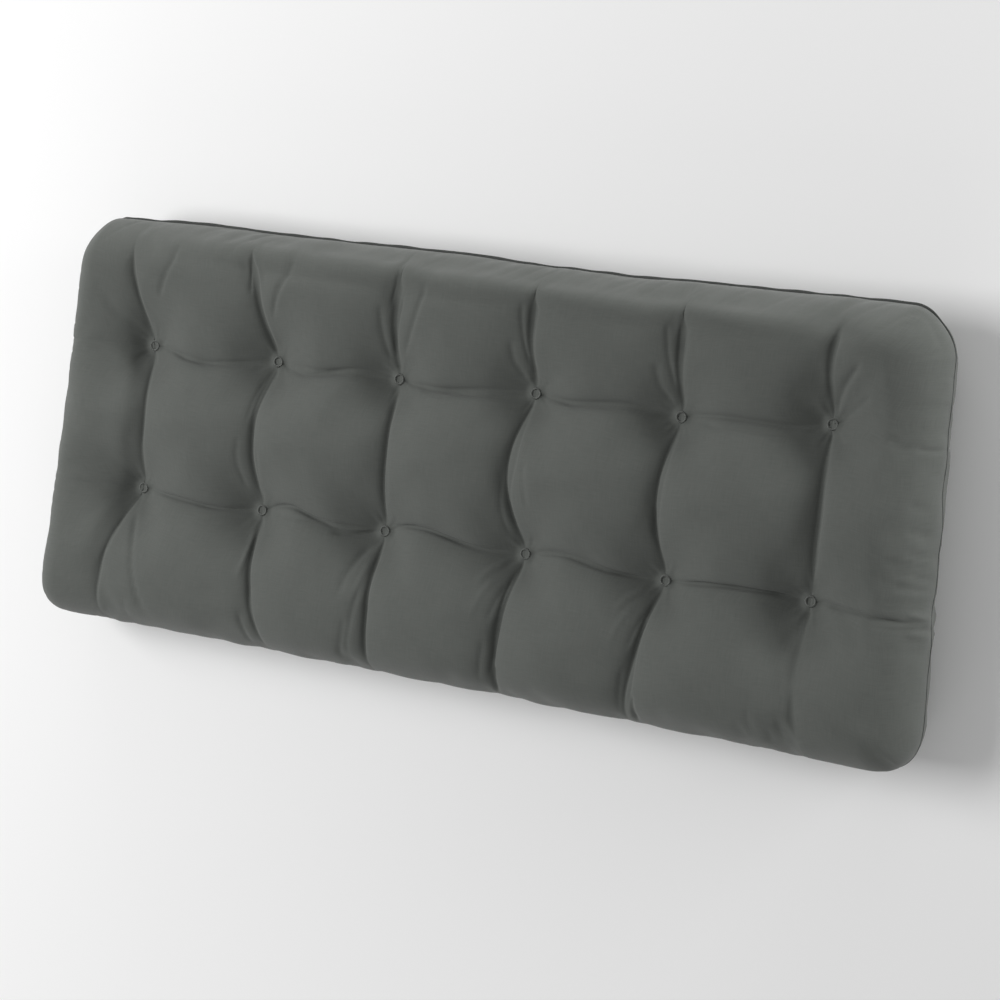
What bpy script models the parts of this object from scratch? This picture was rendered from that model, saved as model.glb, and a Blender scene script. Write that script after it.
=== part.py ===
"""Tufted bench cushion, lying on its back: one filled body and the twelve stitched tacks that hold its tufts.

Units are metres, +Z is up. X runs along the bench, +Y is the long edge that stands at the top of a bench back.
The body is two panels sewn together round the rim. Both follow one lattice: six columns and two rows of tufts
part the cushion into seven by three puffs, with a crease along every line of the lattice.
"""

from collections import namedtuple

import bmesh
import bpy
import numpy as np

MM = 0.001
TINY = 1e-9  # keeps a division clear of zero
WELD_DISTANCE = 1e-6

# Outline, at the seam
LENGTH = 1.118
WIDTH = 0.483
LEFT_SLANT = 15.6 * MM  # the left end's bottom corner stands this much further out than its middle
RIGHT_SLANT = 7.0 * MM
MIDDLE_X = -3.56 * MM  # the middle between the slanted ends, which stands at X = 0
SEAM_HEIGHT = 0.056  # the seam, above what the cushion lies on
FLANK = 0.058  # the width of the rounded flank, from the seam in to the crest of a puff

# Each corner is a superellipse: a power of 2 is a round corner, and a higher one is squarer.
TOP_LEFT_POWER = 2.0
TOP_RIGHT_POWER = 2.0
BOTTOM_LEFT_POWER = 3.0
BOTTOM_RIGHT_POWER = 2.6

# The section of the flank on each side, in the same way
LEFT_FLANK_POWER = 2.4
RIGHT_FLANK_POWER = 2.0
BOTTOM_FLANK_POWER = 2.8
TOP_FLANK_POWER = 2.1

# Heights, from the seam
FRONT_CROWN = 0.062
BACK_CROWN = 0.064  # before the surface under it flattens it to SEAM_HEIGHT
FRONT_SEAT = 0.020  # where a tack sits on the front
BACK_SEAT = 0.018

# The lattice of tufts
PITCH_X = 0.173
PITCH_Y = 0.177
ROW_MIDDLE = 0.0115  # the fill has slumped, so the two rows stand this far above the middle
LATTICE_X = tuple((k - 2.5) * PITCH_X + 0.0014 for k in range(6))
LATTICE_Y = (ROW_MIDDLE - PITCH_Y / 2, ROW_MIDDLE + PITCH_Y / 2)
STATIONS_X = (-LENGTH / 2, *LATTICE_X, LENGTH / 2)
STATIONS_Y = (-WIDTH / 2, *LATTICE_Y, WIDTH / 2)

# Creases
CREASE_REACH = 0.088  # from a crease out to the level top of a puff
RIM_CREASE_REACH = 0.108  # the same from a row of tufts out towards the rim
CREASE_TIGHTNESS = 0.78  # 0.5 is a quarter of a circle; less is a steeper, tighter crease
CREASE_END = 0.80  # a crease's depth next to a tuft, as a share of the tuft's own depth
DEEPENING_BETWEEN = 2.2  # how fast a crease deepens towards a tuft: more keeps it shallow for longer
DEEPENING_TO_RIM = 1.8
BOW_POWER = 1.3  # how fast a bowed crease leaves the lattice: more keeps it square to the tuft for longer
DIMPLE_REACH = 0.118
DIMPLE_ROUNDING = 0.006
BLEND_POWER = 3.6  # how sharply creases that meet give way to the deepest of them
SEAT_SOFTNESS = 8.0  # how sharply the deepest creases level out at a tuft
RIM_NOTCH = 2.0 * MM  # how far a crease that reaches the rim pulls the seam in
RIM_NOTCH_REACH = 0.035

# How many cells of the panels' grid each stretch takes
FLANK_CELLS = 5
STRIP_CELLS = 5
PUFF_CELLS = 10
GRADING = 0.58  # 0 spaces a puff's cells evenly; more draws them in towards its creases
STRIP_GRADING = 1.7  # the same for a strip beside the rim: 1 is even

# Tacks
TACK_RING_RADIUS = 5.4 * MM
TACK_THREAD_RADIUS = 1.5 * MM
TACK_LIFT = 2.2 * MM  # from the bottom of a tuft's dimple up to the ring, clear of the dimple's sides
TACK_RING_STEPS = 16
TACK_THREAD_STEPS = 6

# A column of tufts, in millimetres. The tufts stand a little off the lattice. Each stretch of crease bows
# towards +X between its ends, and where it meets the rim it has drifted from its tuft.
Column = namedtuple(
    "Column", "low_x low_y high_x high_y bottom_drift bottom_bow middle_bow top_drift top_bow"
)
COLUMNS = (
    Column(0, 3, 0, -3, -38, -12, 9, -28, -1),
    Column(-1, 0, 4, -2, 30, -8, -10, -40, 0),
    Column(-5, 0, -4, -3, 3, -3, 3, 10, -6),
    Column(5, 1, -1, 2, -17, -5, -20, 5, -5),
    Column(5, -2, 4, -2, -28, -5, -12, 5, 0),
    Column(1, 2, 4, 12, 15, -7, 5, 12, -6),
)
# How deep each stretch of a column's crease is, as a share of the tuft's depth: half way along and at the rim.
ColumnDepth = namedtuple("ColumnDepth", "bottom_rim bottom middle top top_rim")
COLUMN_DEPTHS = (
    ColumnDepth(0.10, 0.24, 0.34, 0.28, 0.06),
    ColumnDepth(0.24, 0.32, 0.42, 0.34, 0.10),
    ColumnDepth(0.26, 0.34, 0.46, 0.42, 0.12),
    ColumnDepth(0.36, 0.50, 0.52, 0.42, 0.06),
    ColumnDepth(0.34, 0.48, 0.52, 0.42, 0.05),
    ColumnDepth(0.08, 0.26, 0.46, 0.34, 0.12),
)
# A stretch of a row's crease, from one column to the next, in millimetres: it bows towards +Y, and it swings
# towards +Y in its first half and back in its second. Its depth is a share again.
Span = namedtuple("Span", "bow swing depth")
LOW_ROW = (
    Span(0, 0, 0.10),
    Span(-3, 1, 0.44),
    Span(5, 8, 0.48),
    Span(8, 7, 0.48),
    Span(9, 5, 0.48),
    Span(6, -1, 0.44),
    Span(-2, 3, 0.22),
)
HIGH_ROW = (
    Span(0, 0, 0.10),
    Span(-10, 2, 0.46),
    Span(-2, -7, 0.46),
    Span(-4, -3, 0.46),
    Span(3, -4, 0.46),
    Span(1, 3, 0.44),
    Span(4, 6, 0.12),
)
ROWS = (LOW_ROW, HIGH_ROW)


def share_of_bay(value, start, stop):
    """Where value lies from start (0) to stop (1)."""
    return np.clip((value - start) / (stop - start), 0.0, 1.0)


def smooth(value):
    value = np.clip(value, 0.0, 1.0)
    return value * value * (3.0 - 2.0 * value)


def line_weight(value, stations, index):
    """1 on station number index, falling smoothly to 0 at the stations on both sides of it."""
    below = stations[index - 1] if index else stations[0] - 1.0
    above = stations[index + 1] if index + 1 < len(stations) else stations[-1] + 1.0
    here = stations[index]
    return smooth(np.minimum((value - below) / (here - below), (above - value) / (above - here)))


def bow(share):
    """0 at both ends of a stretch, 1 half way, and level with the lattice next to each tuft."""
    return np.sin(np.pi * share) ** BOW_POWER


def column_shift(index, y):
    """How far the crease of a column of tufts stands from its lattice line, towards +X, at lattice place y."""
    column = COLUMNS[index]
    low = share_of_bay(y, STATIONS_Y[0], STATIONS_Y[1])
    middle = share_of_bay(y, STATIONS_Y[1], STATIONS_Y[2])
    high = share_of_bay(y, STATIONS_Y[2], STATIONS_Y[3])
    shift = column.low_x + (column.high_x - column.low_x) * middle
    shift = shift + column.bottom_drift * (1.0 - low) + column.bottom_bow * bow(low)
    shift = shift + column.middle_bow * bow(middle)
    shift = shift + column.top_drift * high + column.top_bow * bow(high)
    return shift * MM


def row_shift(index, x):
    """How far the crease of one row of tufts stands from its lattice line, towards +Y, at lattice place x."""
    heights = [column.high_y if index else column.low_y for column in COLUMNS]
    shift = np.interp(x, STATIONS_X, (heights[0], *heights, heights[-1]))
    for bay, span in enumerate(ROWS[index]):
        share = share_of_bay(x, STATIONS_X[bay], STATIONS_X[bay + 1])
        shift = shift + span.bow * bow(share) + span.swing * np.sin(2.0 * np.pi * share)
    return shift * MM


def warp(x, y):
    """Moves points of the regular lattice to where the cloth has them, with the body's middle at X = 0."""
    end_share = -2.0 * y / WIDTH
    shift_x = RIGHT_SLANT * end_share * line_weight(x, STATIONS_X, len(STATIONS_X) - 1)
    shift_x = shift_x - LEFT_SLANT * end_share * line_weight(x, STATIONS_X, 0)
    for index in range(len(COLUMNS)):
        shift_x = shift_x + column_shift(index, y) * line_weight(x, STATIONS_X, index + 1)
    shift_y = 0.0
    for index in range(len(ROWS)):
        shift_y = shift_y + row_shift(index, x) * line_weight(y, STATIONS_Y, index + 1)
    return x + shift_x - MIDDLE_X, y + shift_y


def valley(distance, reach):
    """1 on a crease, 0 from reach on, steeper towards the crease, where two full puffs press together."""
    inward = np.clip(1.0 - distance / reach, 0.0, 1.0)
    return 1.0 - (1.0 - inward**2) ** CREASE_TIGHTNESS


def dimple(from_tuft):
    """1 at a tuft, falling off like a funnel with a rounded bottom."""
    away = np.hypot(from_tuft, DIMPLE_ROUNDING) - DIMPLE_ROUNDING
    return np.clip(1.0 - away / DIMPLE_REACH, 0.0, 1.0) ** 2


def between_tufts(share, depth):
    """A crease's depth along a stretch with a tuft at both ends."""
    return depth + (CREASE_END - depth) * np.abs(2.0 * share - 1.0) ** DEEPENING_BETWEEN


def out_to_rim(share, depth, rim_depth):
    """A crease's depth along a stretch from a tuft (0) through depth half way to rim_depth at the rim (1)."""
    near = depth + (CREASE_END - depth) * (1.0 - np.minimum(2.0 * share, 1.0)) ** DEEPENING_TO_RIM
    far = (rim_depth - depth) * smooth(2.0 * share - 1.0)
    return near + far


def column_depth(index, y):
    depths = COLUMN_DEPTHS[index]
    low = share_of_bay(y, STATIONS_Y[1], STATIONS_Y[0])
    middle = share_of_bay(y, STATIONS_Y[1], STATIONS_Y[2])
    high = share_of_bay(y, STATIONS_Y[2], STATIONS_Y[3])
    inner = between_tufts(middle, depths.middle)
    below = out_to_rim(low, depths.bottom, depths.bottom_rim)
    above = out_to_rim(high, depths.top, depths.top_rim)
    return np.where(y < STATIONS_Y[1], below, np.where(y > STATIONS_Y[2], above, inner))


def row_depth(index, x):
    spans = ROWS[index]
    depth = np.zeros_like(x)
    for bay in range(1, len(spans) - 1):
        inside = (x >= STATIONS_X[bay]) & (x <= STATIONS_X[bay + 1])
        share = share_of_bay(x, STATIONS_X[bay], STATIONS_X[bay + 1])
        depth = np.where(inside, between_tufts(share, spans[bay].depth), depth)
    left = share_of_bay(x, STATIONS_X[1], STATIONS_X[0])
    right = share_of_bay(x, STATIONS_X[-2], STATIONS_X[-1])
    depth = np.where(x < STATIONS_X[1], out_to_rim(left, spans[0].depth, 0.0), depth)
    return np.where(x > STATIONS_X[-2], out_to_rim(right, spans[-1].depth, 0.0), depth)


def tuft_places():
    """Two grids, x and y, of where the tufts stand, with the low row first."""
    lattice_x, lattice_y = np.meshgrid(LATTICE_X, LATTICE_Y)
    return warp(lattice_x, lattice_y)


def drop_share(lattice_x, lattice_y, plan_x, plan_y):
    """How far the surface lies below a puff's crest, from 0 on the crest to about 1 at a tuft."""
    total = np.zeros_like(lattice_x)
    for index, line in enumerate(LATTICE_X):
        crease = valley(np.abs(lattice_x - line), CREASE_REACH)
        total += (crease * column_depth(index, lattice_y)) ** BLEND_POWER
    for index, line in enumerate(LATTICE_Y):
        outward = (lattice_y - line) * (1.0 if index else -1.0)
        reach = np.where(outward > 0, RIM_CREASE_REACH, CREASE_REACH)
        crease = valley(np.abs(outward), reach)
        total += (crease * row_depth(index, lattice_x)) ** BLEND_POWER
    tufts_x, tufts_y = tuft_places()
    for tuft_x, tuft_y in zip(tufts_x.flat, tufts_y.flat):
        total += dimple(np.hypot(plan_x - tuft_x, plan_y - tuft_y)) ** BLEND_POWER
    share = total ** (1.0 / BLEND_POWER)
    return share / (1.0 + share**SEAT_SOFTNESS) ** (1.0 / SEAT_SOFTNESS)


def graded(start, stop, cells):
    """Places from start up to, not including, stop, closer together at both ends."""
    share = np.arange(cells) / cells
    eased = share - GRADING * np.sin(2.0 * np.pi * share) / (2.0 * np.pi)
    return list(start + (stop - start) * eased)


def strip(tuft, crest):
    """Places from a tuft out to the crest beside the rim, closer together at the tuft."""
    share = np.arange(STRIP_CELLS + 1) / STRIP_CELLS
    return list(tuft + (crest - tuft) * share**STRIP_GRADING)


def grid_lines(stations):
    """(place, flank) of each grid line along an axis: flank is 0 inside and runs to 1 or -1 at the two rims."""
    turn = np.arange(FLANK_CELLS + 1) / FLANK_CELLS * np.pi / 2.0
    first_crest = stations[0] + FLANK
    last_crest = stations[-1] - FLANK
    lines = [(first_crest - FLANK * np.sin(t), -np.sin(t)) for t in turn[:0:-1]]
    inner = strip(stations[1], first_crest)[:0:-1]
    for start, stop in zip(stations[1:-2], stations[2:-1]):
        inner += graded(start, stop, PUFF_CELLS)
    inner += strip(stations[-2], last_crest)
    lines += [(place, 0.0) for place in inner]
    lines += [(last_crest + FLANK * np.sin(t), np.sin(t)) for t in turn[1:]]
    return lines


def corner_power(flank_x, flank_y):
    top = np.where(flank_x < 0, TOP_LEFT_POWER, TOP_RIGHT_POWER)
    bottom = np.where(flank_x < 0, BOTTOM_LEFT_POWER, BOTTOM_RIGHT_POWER)
    return np.where(flank_y > 0, top, bottom)


def round_corners(x, y, flank_x, flank_y):
    """Draws the grid's square corners in, so that each ring of the flank runs round them."""
    reach = np.maximum(np.abs(flank_x), np.abs(flank_y))
    power = corner_power(flank_x, flank_y)
    norm = (np.abs(flank_x) ** power + np.abs(flank_y) ** power) ** (1.0 / power)
    scale = np.where(reach > 0, reach / np.maximum(norm, TINY), 1.0)
    return x - flank_x * FLANK * (1.0 - scale), y - flank_y * FLANK * (1.0 - scale), reach


def rim_notches(x, y, reach):
    """How far creases that reach the long edges pull them in towards the middle, as a shift along Y."""
    pull = np.zeros_like(x)
    for index, line in enumerate(LATTICE_X):
        near = np.exp(-(((x - line) / RIM_NOTCH_REACH) ** 2))
        rim_depth = np.where(y > 0, COLUMN_DEPTHS[index].top_rim, COLUMN_DEPTHS[index].bottom_rim)
        pull += near * rim_depth / max(depths.bottom_rim for depths in COLUMN_DEPTHS)
    return -np.sign(y) * RIM_NOTCH * pull * reach**3


def flank_power(flank_x, flank_y):
    """How square the flank's section is: 2 is a quarter of an ellipse, and more keeps it full further out."""
    by_x = np.where(flank_x < 0, LEFT_FLANK_POWER, RIGHT_FLANK_POWER)
    by_y = np.where(flank_y < 0, BOTTOM_FLANK_POWER, TOP_FLANK_POWER)
    weight_x = flank_x**2 + TINY
    weight_y = flank_y**2 + TINY
    return (by_x * weight_x + by_y * weight_y) / (weight_x + weight_y)


def panel_points(side):
    """The points of one panel, as rows of (x, y, z): side is 1 for the front and -1 for the back."""
    along = np.array(grid_lines(STATIONS_X))
    across = np.array(grid_lines(STATIONS_Y))
    x, y = np.meshgrid(along[:, 0], across[:, 0])
    flank_x, flank_y = np.meshgrid(along[:, 1], across[:, 1])
    x, y, reach = round_corners(x, y, flank_x, flank_y)
    plan_x, plan_y = warp(x, y)
    drop = drop_share(x, y, plan_x, plan_y)
    plan_y = plan_y + rim_notches(x, y, reach)
    rise = np.sqrt(1.0 - np.minimum(reach, 1.0) ** flank_power(flank_x, flank_y))
    crown, seat = (FRONT_CROWN, FRONT_SEAT) if side > 0 else (BACK_CROWN, BACK_SEAT)
    height = rise * (crown - (crown - seat) * drop)
    z = np.maximum(SEAM_HEIGHT + side * height, 0.0)
    return np.stack([plan_x, plan_y, z], axis=-1)


def add_panel(mesh, side):
    points = panel_points(side)
    rows, columns = points.shape[:2]
    made = bmesh.ops.create_grid(mesh, x_segments=columns - 1, y_segments=rows - 1, size=1.0)
    for vertex in made["verts"]:
        column = round((vertex.co.x + 1.0) / 2.0 * (columns - 1))
        row = round((vertex.co.y + 1.0) / 2.0 * (rows - 1))
        vertex.co = points[row, column]
    if side < 0:
        faces = {face for vertex in made["verts"] for face in vertex.link_faces}
        bmesh.ops.reverse_faces(mesh, faces=list(faces))


def cloth_material():
    material = bpy.data.materials.new("charcoal_cloth")
    material.use_nodes = True
    shader = material.node_tree.nodes["Principled BSDF"]
    shader.inputs["Base Color"].default_value = (0.105, 0.112, 0.103, 1.0)
    shader.inputs["Roughness"].default_value = 0.9
    shader.inputs["Metallic"].default_value = 0.0
    return material


def thread_material():
    material = bpy.data.materials.new("charcoal_thread")
    material.use_nodes = True
    shader = material.node_tree.nodes["Principled BSDF"]
    shader.inputs["Base Color"].default_value = (0.085, 0.092, 0.084, 1.0)
    shader.inputs["Roughness"].default_value = 0.6
    shader.inputs["Metallic"].default_value = 0.0
    return material


def make_body(collection, material):
    """The filled cushion: a front and a back panel, sewn together where their rims meet."""
    shape = bmesh.new()
    add_panel(shape, 1)
    add_panel(shape, -1)
    bmesh.ops.remove_doubles(shape, verts=shape.verts, dist=WELD_DISTANCE)
    mesh = bpy.data.meshes.new("cushion_body")
    shape.to_mesh(mesh)
    shape.free()
    mesh.materials.append(material)
    mesh.shade_smooth()
    body = bpy.data.objects.new("cushion_body", mesh)
    collection.objects.link(body)
    return body


def tuft_seats():
    """(x, y, z) of the bottom of each tuft's dimple on the front panel, with the low row first."""
    lattice_x, lattice_y = np.meshgrid(LATTICE_X, LATTICE_Y)
    plan_x, plan_y = tuft_places()
    drop = drop_share(lattice_x, lattice_y, plan_x, plan_y)
    z = SEAM_HEIGHT + FRONT_CROWN - (FRONT_CROWN - FRONT_SEAT) * drop
    return np.stack([plan_x, plan_y, z], axis=-1).reshape(-1, 3)


def make_tack(name, seat, body, collection, material):
    """A ring of thread, sewn through the cushion, that holds one tuft down."""
    x, y, z = seat
    bpy.ops.mesh.primitive_torus_add(
        major_radius=TACK_RING_RADIUS,
        minor_radius=TACK_THREAD_RADIUS,
        major_segments=TACK_RING_STEPS,
        minor_segments=TACK_THREAD_STEPS,
        location=(x, y, z + TACK_LIFT + TACK_THREAD_RADIUS),
    )
    tack = bpy.context.object
    tack.name = name
    tack.data.name = name
    tack.data.materials.append(material)
    tack.data.shade_smooth()
    for other in tack.users_collection:
        other.objects.unlink(tack)
    collection.objects.link(tack)
    tack.parent = body
    return tack


def main():
    for old in list(bpy.data.objects):
        bpy.data.objects.remove(old)
    collection = bpy.data.collections.new("bench_cushion")
    bpy.context.scene.collection.children.link(collection)
    body = make_body(collection, cloth_material())
    thread = thread_material()
    names = [f"tack_{row}_{number}" for row in ("low", "high") for number in range(1, 7)]
    for name, seat in zip(names, tuft_seats()):
        make_tack(name, seat, body, collection, thread)


main()
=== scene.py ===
"""Tufted bench cushion in charcoal cloth, lying on a pale studio floor.

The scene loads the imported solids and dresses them: the cloth and its folds, the stitched tacks, the
floor, the lights and the camera. Units are metres, +Z is up, X runs along the bench, and +Y is the long
edge at the top of the view. The cloth follows the solids' lattice of tufts on a finer grid. A cloth
simulation lets it settle round its fill, and then the folds are pressed in.
"""

import math
from collections import namedtuple

import bpy
import numpy as np
from mathutils import Matrix, Vector

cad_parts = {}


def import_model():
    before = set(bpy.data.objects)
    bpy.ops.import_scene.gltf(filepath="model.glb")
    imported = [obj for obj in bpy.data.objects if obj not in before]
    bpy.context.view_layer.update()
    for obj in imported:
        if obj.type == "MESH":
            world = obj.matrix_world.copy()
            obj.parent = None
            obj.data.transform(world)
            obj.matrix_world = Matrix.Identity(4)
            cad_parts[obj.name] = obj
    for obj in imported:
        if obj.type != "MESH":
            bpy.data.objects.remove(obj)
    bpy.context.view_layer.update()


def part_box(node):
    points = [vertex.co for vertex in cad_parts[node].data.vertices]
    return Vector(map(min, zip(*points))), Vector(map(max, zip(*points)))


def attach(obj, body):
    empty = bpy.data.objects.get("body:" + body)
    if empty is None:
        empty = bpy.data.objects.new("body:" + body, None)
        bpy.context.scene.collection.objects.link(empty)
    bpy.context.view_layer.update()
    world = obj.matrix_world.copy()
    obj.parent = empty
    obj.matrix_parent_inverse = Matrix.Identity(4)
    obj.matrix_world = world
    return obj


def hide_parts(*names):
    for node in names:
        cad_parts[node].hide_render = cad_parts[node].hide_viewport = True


MM = 0.001
TINY = 1e-9  # keeps a division clear of zero
SEED = 12

# Outline, at the seam
LENGTH = 1.118
WIDTH = 0.483
LEFT_SLANT = 15.6 * MM  # the left end's bottom corner stands this much further out than its middle
RIGHT_SLANT = 7.0 * MM
MIDDLE_X = -3.56 * MM  # the middle between the slanted ends, which stands at X = 0
SEAM_HEIGHT = 0.056  # the seam, above what the cushion lies on
FLANK = 0.058  # the width of the rounded flank, from the seam in to the crest of a puff

# Each corner is a superellipse: a power of 2 is a round corner, and a higher one is squarer.
TOP_LEFT_POWER = 2.0
TOP_RIGHT_POWER = 2.0
BOTTOM_LEFT_POWER = 3.0
BOTTOM_RIGHT_POWER = 2.6

# The section of the flank on each side, in the same way
LEFT_FLANK_POWER = 2.4
RIGHT_FLANK_POWER = 2.0
BOTTOM_FLANK_POWER = 2.8
TOP_FLANK_POWER = 2.1

# Heights, from the seam
FRONT_CROWN = 0.062
BACK_CROWN = 0.064  # before the surface under it flattens it to SEAM_HEIGHT
FRONT_SEAT = 0.020  # where a tack sits on the front
BACK_SEAT = 0.018

# The lattice of tufts
PITCH_X = 0.173
PITCH_Y = 0.177
ROW_MIDDLE = 0.0115  # the fill has slumped, so the two rows stand this far above the middle
LATTICE_X = tuple((k - 2.5) * PITCH_X + 0.0014 for k in range(6))
LATTICE_Y = (ROW_MIDDLE - PITCH_Y / 2, ROW_MIDDLE + PITCH_Y / 2)
STATIONS_X = (-LENGTH / 2, *LATTICE_X, LENGTH / 2)
STATIONS_Y = (-WIDTH / 2, *LATTICE_Y, WIDTH / 2)

# Creases
CREASE_REACH = 0.088  # from a crease out to the level top of a puff
RIM_CREASE_REACH = 0.108  # the same from a row of tufts out towards the rim
CREASE_TIGHTNESS = 0.78  # 0.5 is a quarter of a circle; less is a steeper, tighter crease
CREASE_END = 0.80  # a crease's depth next to a tuft, as a share of the tuft's own depth
DEEPENING_BETWEEN = 2.2  # how fast a crease deepens towards a tuft: more keeps it shallow for longer
DEEPENING_TO_RIM = 1.8
BOW_POWER = 1.3  # how fast a bowed crease leaves the lattice: more keeps it square to the tuft for longer
DIMPLE_REACH = 0.118
DIMPLE_ROUNDING = 0.006
BLEND_POWER = 3.6  # how sharply creases that meet give way to the deepest of them
SEAT_SOFTNESS = 8.0  # how sharply the deepest creases level out at a tuft
RIM_NOTCH = 2.0 * MM  # how far a crease that reaches the rim pulls the seam in
RIM_NOTCH_REACH = 0.035

# The grid of the panels along each axis: its stations, the cells from one tuft to the next, and how far
# these are drawn in towards the creases. Every number of cells is a multiple of SETTLE_STEP.
Axis = namedtuple("Axis", "stations puff_cells grading")
ALONG = Axis(STATIONS_X, 64, 0.50)
ACROSS = Axis(STATIONS_Y, 64, 0.54)
FLANK_CELLS = 24
STRIP_CELLS = 32
STRIP_GRADING = 1.3  # how far a strip's cells are drawn in towards its tufts: 1 is even
BACK_STEP = 2  # the back panel keeps every second line of the grid

# A column of tufts, in millimetres. The tufts stand a little off the lattice. Each stretch of crease bows
# towards +X between its ends, and where it meets the rim it has drifted from its tuft.
Column = namedtuple(
    "Column", "low_x low_y high_x high_y bottom_drift bottom_bow middle_bow top_drift top_bow"
)
COLUMNS = (
    Column(0, 3, 0, -3, -38, -12, 9, -28, -1),
    Column(-1, 0, 4, -2, 30, -8, -10, -40, 0),
    Column(-5, 0, -4, -3, 3, -3, 3, 10, -6),
    Column(5, 1, -1, 2, -17, -5, -20, 5, -5),
    Column(5, -2, 4, -2, -28, -5, -12, 5, 0),
    Column(1, 2, 4, 12, 15, -7, 5, 12, -6),
)
# How deep a column's creases are, half way along and at the rim, as a share of the tuft's depth. The last
# column's creases fade out towards the rim, where the solids keep them.
ColumnDepth = namedtuple("ColumnDepth", "bottom_rim bottom middle top top_rim")
COLUMN_DEPTHS = (
    ColumnDepth(0.10, 0.24, 0.34, 0.28, 0.06),
    ColumnDepth(0.24, 0.32, 0.42, 0.34, 0.10),
    ColumnDepth(0.26, 0.34, 0.46, 0.42, 0.12),
    ColumnDepth(0.36, 0.50, 0.52, 0.42, 0.06),
    ColumnDepth(0.34, 0.48, 0.52, 0.42, 0.05),
    ColumnDepth(0.02, 0.07, 0.46, 0.24, 0.08),
)
# A stretch of a row's crease, from one column to the next, in millimetres: it bows towards +Y, and it swings
# towards +Y in its first half and back in its second. Its depth is a share again.
Span = namedtuple("Span", "bow swing depth")
LOW_ROW = (
    Span(0, 0, 0.10),
    Span(-3, 1, 0.44),
    Span(5, 8, 0.48),
    Span(8, 7, 0.48),
    Span(9, 5, 0.48),
    Span(6, -1, 0.44),
    Span(-2, 3, 0.22),
)
HIGH_ROW = (
    Span(0, 0, 0.10),
    Span(-10, 2, 0.46),
    Span(-2, -7, 0.46),
    Span(-4, -3, 0.46),
    Span(3, -4, 0.46),
    Span(1, 3, 0.44),
    Span(4, 6, 0.12),
)
ROWS = (LOW_ROW, HIGH_ROW)

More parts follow.
